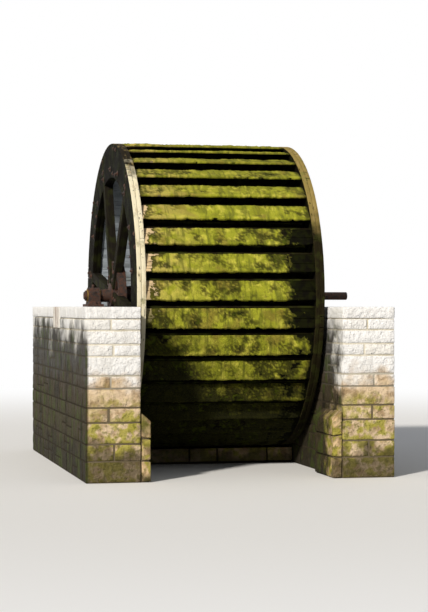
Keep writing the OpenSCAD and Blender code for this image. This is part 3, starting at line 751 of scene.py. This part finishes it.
def breast():
    """Stones laid on the curve under the wheel, and the coursed face to the head race."""
    work, core = Work(), Work()
    toe = math.asin(BREAST_TOE / BREAST_R) - math.pi / 2
    end = math.asin((CREST_LOW - AXLE_Z) / BREAST_R)

    def on_curve(p):
        return on_wheel(p.x, p.z, p.y / BREAST_R)

    for row in range(BREAST_ROWS):
        a0 = (toe + (end - toe) * row / BREAST_ROWS) * BREAST_R
        a1 = (toe + (end - toe) * (row + 1) / BREAST_ROWS) * BREAST_R
        run = stone_run(-WALL_IN, WALL_IN, *BREAST_STONE)
        for x0, x1 in zip(run, run[1:]):
            stone(work, (x0, a0, BREAST_R - JOINT / 2), (x1, a1, BREAST_R + BREAST_DEEP), 0.014, 0.005,
                  BREAST_CELL, place=on_curve)
    for z0, z1 in zip(RACE_COURSES, RACE_COURSES[1:]):
        run = stone_run(-WALL_IN, WALL_IN, *RACE_STONE)
        for x0, x1 in zip(run, run[1:]):
            stone(work, (x0, WALL_END - STONE_DEEP, z0), (x1, WALL_END + JOINT / 2, z1), cell=BREAST_CELL)

    def under_curve(p):
        top = CREST_LOW - 0.004
        if p.y < CREST_START:
            top = min(top, AXLE_Z - math.sqrt((BREAST_R + RECESS) ** 2 - p.y ** 2))
        return Vector((p.x, p.y, 0.002 + p.z * (top - 0.002)))

    mortar_bed(core, (-WALL_IN, BREAST_TOE + 0.03, 0), (WALL_IN, WALL_END - RECESS, 1), under_curve,
               (3, 0.06, 1))
    work.piece("breast_stones", race_stone, "root", "breast_stone", "breast")
    core.piece("breast_mortar", mortar, "root", "breast_stone")


def crest():
    """The slabs of the crest, whose edge lies on the breast's curve."""
    work = Work()

    def behind_wheel(p):
        near = math.sqrt(BREAST_R ** 2 - (AXLE_Z - p.z) ** 2)
        y = near + (p.y - CREST_START) * (WALL_END - near) / (WALL_END - CREST_START)
        # The last 70 mm before the wheel are worn down, by up to 35 mm
        worn = max(0.0, 1 - (y - near) / 0.07)
        return Vector((p.x, y, p.z - 0.035 * worn ** 2 * (p.z > CREST_LOW + 0.1)))

    for x0, x1 in zip(CREST_CUTS, CREST_CUTS[1:]):
        block(work, (x0 + 0.003, CREST_START, CREST_LOW), (x1 - 0.003, WALL_END, CREST_TOP), edge=0.014,
              cell=(0.05, 0.05, 0.05), rough=0.006, tone=chance.random(), place=behind_wheel)
    work.piece("crest_slabs", crest_stone, "root", "crest_stone", "crest_stone")


breast()
crest()


# The wheel's timber

def ring_layer(side, x0, x1, sectors, name, node):
    """Curved cants, sawn from straight planks, so that the grain runs along the chord."""
    work = Work()
    middle_r = (RING_IN_R + WHEEL_R) / 2
    for a0, a1 in sectors:
        middle = (a0 + a1) / 2

        def place(p):
            return on_wheel(p.x * side, p.z, p.y / middle_r)

        def along_chord(p):
            turn = p.y / middle_r - middle
            return Vector((p.z * math.sin(turn), p.z * math.cos(turn), p.x))

        block(work, (x0, a0 * middle_r, RING_IN_R), (x1, a1 * middle_r, WHEEL_R), edge=0.006,
              cell=(0.03, 0.07, 0.07), rough=0.003, tone=chance.random(), place=place,
              grain_of=along_chord)
    work.piece(name, cant_wood, "wheel", "ring_oak", node)


def arm(side, i, name):
    """A tapered arm, whose tongue runs out between the face cants to the rim."""
    work = Work()
    turn = ARM_START + i * ARM_STEP

    def half_width(r):
        return ARM_HUB_HALF + (ARM_HALF - ARM_HUB_HALF) * min(1, (r - ARM_IN_R) / (ARM_BODY_R - ARM_IN_R))

    def place(p):
        return by_spoke(turn, p.z * side, p.x, p.y * half_width(p.x))

    tone = chance.random()
    own = chance.uniform(-9, 9)

    def grain_of(p):
        return Vector((p.x, p.y * 0.08 + own, p.z))

    # Across the arm, p.y runs from -1 to 1, so its rounded edge is set in the same share
    edge, cell = (0.006, 0.08, 0.006), (0.06, 0.25, 0.03)
    for r0, r1, x0, x1 in ((ARM_IN_R, ARM_BODY_R, RING_X - 2 * LAYER, RING_X),
                           (ARM_BODY_R - 0.02, ARM_TIP_R, RING_X - LAYER, RING_X)):
        lo, hi = (r0, -1, x0), (r1, 1, x1)
        points, faces = box_shell(*[lines(lo[n], hi[n], edge[n], cell[n]) for n in range(3)])
        out, grains = [], []
        for p in points:
            core = Vector([min(max(p[n], lo[n] + edge[n]), hi[n] - edge[n]) for n in range(3)])
            push = Vector([(p[n] - core[n]) / edge[n] for n in range(3)]).normalized()
            dent = 0.25 * (1 + noise.noise(Vector((p.x * 3, p.y * 0.5 + own, p.z * 12))))
            out.append(place(core + Vector([push[n] * edge[n] * (1 - dent) for n in range(3)])))
            grains.append(grain_of(p))
        work.add(out, faces, tone, grains)
    work.piece(name + "_timber", arm_wood, "wheel", "arm_oak", name)


CANT_SHORT = 0.0003     # angle by which a back cant is short at each end
for side, name in SIDES:
    joints = [ARM_START + (i - 0.5) * ARM_STEP for i in range(ARMS)]
    ring_layer(side, RING_X - 2 * LAYER, RING_X - LAYER - 0.0003,
               [(a + CANT_SHORT, a + ARM_STEP - CANT_SHORT) for a in joints],
               name + "_ring_back_planks", name + "_ring_back_cants")
    # The face cants leave room for the arms' tongues
    slot_turn = (ARM_HALF + 0.001) / ((RING_IN_R + WHEEL_R) / 2)
    tongues = [ARM_START + i * ARM_STEP for i in range(ARMS + 1)]
    ring_layer(side, RING_X - LAYER, RING_X,
               [(a + slot_turn, b - slot_turn) for a, b in zip(tongues, tongues[1:])],
               name + "_ring_face_planks", name + "_ring_face_cants")
    for i in range(ARMS):
        arm(side, i, f"{name}_arm_{i + 1}")


WEAR_START = 0.21       # the lip's wear fades out this far from the elbow


def worn_back(k, x, v):
    """How far float k is worn back at x and at v from its elbow."""
    at = Vector((x * 2.2, k * 7.3, 1.7))
    nick = max(0.0, noise.noise(Vector((x * 9.0, k * 3.1, 5.0))) - 0.28) * 0.07
    lip = 0.004 + 0.004 * noise.noise(at) + 0.003 * noise.noise(at * 6) + nick
    return lip * max(0, (v - WEAR_START) / (FLOAT_L - WEAR_START))


def float_planks():
    """Two planks to a float, the outer one with a worn lip and finer cells."""
    work = Work()
    joint = 0.150
    for k in range(FLOATS):

        def place(p):
            return on_board(k, p.x, p.y - worn_back(k, p.x, p.y), p.z)

        for v0, v1, cell in ((0.002, joint - 0.002, (0.25, 0.050, 0.03)),
                             (joint + 0.002, FLOAT_L, (0.11, 0.035, 0.03))):
            block(work, (-BOARD_X, v0, 0), (BOARD_X, v1, FLOAT_T), edge=0.005, cell=cell, rough=0.002,
                  tone=chance.random(), place=place)
    work.piece("float_planks", float_wood, "wheel", "float_elm", "float_boards")


RISER_JOINT = (2.0185, 2.0195)      # the two planks of a riser meet here, overlapping by 1 mm


def riser_and_sole_planks():
    """Two planks to a riser and two to a sole, seen through the throats and from within."""
    risers, soles = Work(), Work()
    mitre = SOLE_R * math.tan(PITCH / 2)
    for k in range(FLOATS):
        turn = FIRST_ELBOW + k * PITCH

        def on_riser(p):
            return by_spoke(turn, p.x, p.y, p.z)

        # The planks of a riser run from the sole's back to the float's outer face
        for y0, y1 in ((SOLE_R + SOLE_T + 0.006, RISER_JOINT[1]), (RISER_JOINT[0], ELBOW_R - 0.008)):
            block(risers, (-BOARD_X, y0, -RISER_T), (BOARD_X, y1, 0), edge=0.004, cell=(0.4, 0.09, 0.03),
                  rough=0.002, tone=chance.random(), place=on_riser)
        for y0, y1 in ((-mitre, 0), (0, mitre)):

            def on_sole(p):
                # Mitred; each side is 1.8 mm short towards the axle and 1 mm over at the back,
                # so that the joints gape inside and are tight behind
                swell = 0.0028 * (p.z - SOLE_R) / SOLE_T - 0.0018
                along = p.y * p.z / SOLE_R + swell * (2 * p.y - y0 - y1) / (y1 - y0)
                return by_spoke(turn + PITCH / 2, p.x, p.z, along)

            block(soles, (-BOARD_X, y0, SOLE_R), (BOARD_X, y1, SOLE_R + SOLE_T), edge=0.006,
                  cell=(0.4, 0.08, 0.03), rough=0.002, tone=chance.random(), place=on_sole)
    risers.piece("riser_planks", inner_wood, "wheel", "riser_elm", "riser_boards")
    soles.piece("sole_planks", sole_wood, "wheel", "sole_elm", "sole_boards")


float_planks()
riser_and_sole_planks()


# Moss

MOSS_CELL = 0.021
MOSS_PIECES = 3
LIP_TURN = 0.010        # radius of the moss round a lip
MOSS_OVER = 0.018       # how far it hangs down over the lip
MOSS_SUNK = 0.006       # depth of its underside in the wood


def moss_path(t):
    """Across a float at t: its place v, w and the way out from the wood."""
    bend = t - (FLOAT_L - LIP_TURN)
    if bend <= 0:
        return t, 0.0, 0.0, -1.0
    a = min(bend / LIP_TURN, math.pi / 2)
    over = max(0.0, bend - LIP_TURN * math.pi / 2)
    return (FLOAT_L - LIP_TURN + LIP_TURN * math.sin(a), LIP_TURN - LIP_TURN * math.cos(a) + over,
            math.sin(a), -math.cos(a))


def moss_cover(k, x):
    """How far the moss has taken on float k: little at the foot of the parked wheel, at the
    shaded end of the boards above it and at their bleached end."""
    deep = max(0.0, 1 - abs(k - 25) / 6.5)
    # Where the floats' finish paints the shadow at the far end, the moss is taken off so that the black
    # wood shows
    shaded = max(0.0, min(1.0, 2.7 - abs(k - 16.6))) * max(0.0, min(1.0, (x - 0.74) / 0.24))
    sunlit = max(0.0, 1 - abs(k - 16.5) / 4.5) * max(0.0, min(1.0, (-0.90 - x) / 0.26))
    return 1 - 0.8 * deep ** 0.7 - 1.7 * shaded - 1.1 * sunlit


def moss_thickness(k, x, t):
    """Thickness of the moss; below nothing the wood is bare."""
    at = Vector((x, t + k * 0.77, k * 1.31))
    spread = noise.noise(Vector((x * 1.6, t * 3.0 + k * 5.1, 0.4)))
    clump = noise.noise(at * 7.0)
    nearest = noise.voronoi(at * 26.0)[0]
    dome = max(0.0, 1 - (nearest[0] / 0.62) ** 2)
    lip = max(0.0, 1 - abs(t - FLOAT_L) / 0.06)
    sides = min(1.0, (BOARD_X - 0.02 - abs(x)) / 0.10)
    body = 0.0065 + 0.008 * spread + 0.011 * clump + 0.0095 * dome + 0.005 * lip
    return min(body * (0.35 + 0.65 * sides) - 0.003 * (1 - sides) - 0.012 * (1 - moss_cover(k, x)), 0.023)


def moss_sheet(work, k):
    """A closed sheet over the mossy parts of float k, sunk in the wood at its borders."""
    x_end = BOARD_X - 0.0205
    columns = round(2 * x_end / MOSS_CELL)
    t0, t1 = 0.004, FLOAT_L + MOSS_OVER
    rows = round((t1 - t0) / MOSS_CELL)
    thick = [[moss_thickness(k, -x_end + 2 * x_end * i / columns, t0 + (t1 - t0) * j / rows)
              for j in range(rows + 1)] for i in range(columns + 1)]
    grown = {(i, j) for i in range(columns) for j in range(rows)
             if max(thick[i + a][j + b] for a in (0, 1) for b in (0, 1)) > 0}
    index, points, tones, grains, faces = {}, [], [], [], []

    def corner(i, j, under):
        if (i, j, under) not in index:
            index[i, j, under] = len(points)
            x, t = -x_end + 2 * x_end * i / columns, t0 + (t1 - t0) * j / rows
            v, w, out_v, out_w = moss_path(t)
            h = -MOSS_SUNK if under else max(thick[i][j], -0.004)
            points.append(on_board(k, x, v - worn_back(k, x, v) + out_v * h, w + out_w * h))
            tones.append(min(1.0, max(0.0, thick[i][j] / 0.022)))
            grains.append(Vector((x, t, k * 0.83)))
        return index[i, j, under]

    for i, j in grown:
        ring = [(i, j), (i + 1, j), (i + 1, j + 1), (i, j + 1)]
        faces.append([corner(*c, 0) for c in ring])
        faces.append([corner(*c, 1) for c in reversed(ring)])
        for n, step in enumerate(((0, -1), (1, 0), (0, 1), (-1, 0))):
            if (i + step[0], j + step[1]) not in grown:
                a, b = ring[n], ring[(n + 1) % 4]
                faces.append([corner(*b, 0), corner(*a, 0), corner(*a, 1), corner(*b, 1)])
    work.add(points, faces, tones, grains)


for i in range(MOSS_PIECES):
    work = Work()
    for k in range(FLOATS * i // MOSS_PIECES, FLOATS * (i + 1) // MOSS_PIECES):
        moss_sheet(work, k)
    work.piece(f"float_moss_{i + 1}", moss, "wheel", "float_elm")


# Bolts

# Width over the flats and height of heads and nuts; a tie rod's washer is wide
ARM_BOLT, RIM_BOLT, ROD_NUT = (0.036, 0.018), (0.032, 0.015), (0.036, 0.024, 1.17)
HOLDING_NUT, CAP_NUT = (0.044, 0.024), (0.038, 0.020)
ARM_BOLTS_R = (0.300, 0.450)        # through a hub casting and an arm
# Through the rim, radius and distance round it: at an arm's tongue, at a cant's joint
TONGUE_BOLTS = ((2.02, -0.035), (2.02, 0.035), (2.21, 0.0))
CANT_BOLTS = [(r, shift) for r in (1.84, 2.21) for shift in (-0.10, 0.10)]
HOLDING_BOLT_Y, HOLDING_TOP = 0.213, WALL_TOP + 0.040
CAP_BOLT_Y, CAP_TOP = 0.12455, AXLE_Z + 0.037

wheel_bolts, bearing_bolts = Work(), Work()
for side, _ in SIDES:
    for i in range(ARMS):
        turn = ARM_START + i * ARM_STEP
        for r in ARM_BOLTS_R:
            bolt(wheel_bolts, on_wheel(side * RING_X, r, turn), (side, 0, 0), *ARM_BOLT)
            bolt(wheel_bolts, on_wheel(side * HUB_BACK_X, r, turn), (-side, 0, 0), *ARM_BOLT)
        for bolts, middle in ((TONGUE_BOLTS, turn), (CANT_BOLTS, turn + ARM_STEP / 2)):
            for r, shift in bolts:
                bolt(wheel_bolts, on_wheel(side * RING_X, r, middle + shift / r), (side, 0, 0), *RIM_BOLT)
        # Washers and nuts of the tie rods
        for rod in range(3):
            at = on_wheel(side * RING_X, ROD_R, turn + rod * 2 * PITCH)
            bolt(wheel_bolts, at, (side, 0, 0), *ROD_NUT)
    for y in (-HOLDING_BOLT_Y, HOLDING_BOLT_Y):
        bolt(bearing_bolts, (side * BEARING_X, y, HOLDING_TOP), (0, 0, 1), *HOLDING_NUT)
    for y in (-CAP_BOLT_Y, CAP_BOLT_Y):
        bolt(bearing_bolts, (side * BEARING_X, y, CAP_TOP), (0, 0, 1), *CAP_NUT)
wheel_bolts.piece("wheel_bolts", wrought_iron, "wheel", "rod_iron", smooth=False)
bearing_bolts.piece("bearing_bolts", wrought_iron, "root", "bearing_iron", smooth=False)


# Finishes of the kept solids

FINISH = {"axle": axle_iron, "tie_rods": wrought_iron}
for _, name in SIDES:
    FINISH[name + "_hub"] = cast_iron
    FINISH[name + "_hub_keys"] = wrought_iron
    FINISH[name + "_bearing_base"] = FINISH[name + "_bearing_cap"] = cast_iron
    FINISH[name + "_bearing_brass"] = bronze
for name, finish in FINISH.items():
    for slot in bpy.data.objects[name].material_slots:
        slot.material = finish


# Floor, light and camera

def seen_directly(tree):
    """1 where the camera sees a surface straight on or in a gloss, 0 where it only gives light."""
    path = add(tree, "LightPath", {})
    seen = add(tree, "Math", {0: path["Is Camera Ray"], 1: path["Is Glossy Ray"]},
               operation="MAXIMUM")[0]
    return add(tree, "Math", {0: seen, 1: path["Is Transmission Ray"]}, operation="MAXIMUM")[0]


FLOOR = 60              # half the floor's side
floor_mesh = bpy.data.meshes.new("floor")
floor_mesh.from_pydata([(-FLOOR, -FLOOR, 0), (FLOOR, -FLOOR, 0), (FLOOR, FLOOR, 0), (-FLOOR, FLOOR, 0)],
                       [], [(0, 1, 2, 3)])
floor_finish, tree, spot = new_finish("pale_floor")
seen = seen_directly(tree)
lit = add(tree, "BsdfPrincipled", {
    "Base Color": coats(tree, "#7a7b7c", (seen, "#efede8")), "Roughness": 0.9})[0]
# Away from the wheel the floor goes over into the white backdrop
distance = add(tree, "VectorMath", {0: spot}, operation="LENGTH")["Value"]
away = add(tree, "MapRange", {"Value": distance, "From Min": 7.0, "From Max": 26.0},
           interpolation_type="SMOOTHSTEP")[0]
white = add(tree, "Emission", {"Color": (1, 1, 1, 1), "Strength": 1.0})[0]
mixed = add(tree, "MixShader", {0: share(tree, away, seen), 1: lit, 2: white})[0]
add(tree, "OutputMaterial", {0: mixed})
floor_mesh.materials.append(floor_finish)
in_scene("floor", floor_mesh)

sun = bpy.data.lights.new("sun", "SUN")
sun.energy = 3.8
sun.angle = math.radians(5)
sun.color = linear("#fffaf3")[:3]
sun_turn, sun_high = math.radians(42), math.radians(29)
to_sun = Vector((-math.sin(sun_turn) * math.cos(sun_high), -math.cos(sun_turn) * math.cos(sun_high),
                 math.sin(sun_high)))
in_scene("sun", sun).rotation_euler = (-to_sun).to_track_quat("-Z", "Y").to_euler()

world = bpy.data.worlds.new("studio")
bpy.context.scene.world = world
world.use_nodes = True
tree = world.node_tree
tree.nodes.clear()
cool = add(tree, "Background", {"Color": linear("#e8eefa"), "Strength": 0.27})[0]
white = add(tree, "Background", {"Color": (1, 1, 1, 1), "Strength": 1.0})[0]
either = add(tree, "MixShader", {0: seen_directly(tree), 1: cool, 2: white})[0]
add(tree, "OutputWorld", {0: either})

EYE = 2.38              # height of the viewer's eye, at which the camera looks level
camera = in_scene("camera", bpy.data.cameras.new("camera"))
camera.data.sensor_width = 36
camera.data.lens = 106.7
camera.data.clip_end = 200
camera.location = (-5.78, -27.0, EYE)
camera.rotation_euler = (Vector((0.25, 0, EYE)) - camera.location).to_track_quat("-Z", "Y").to_euler()
bpy.context.scene.camera = camera

bpy.context.scene.view_settings.view_transform = "Standard"
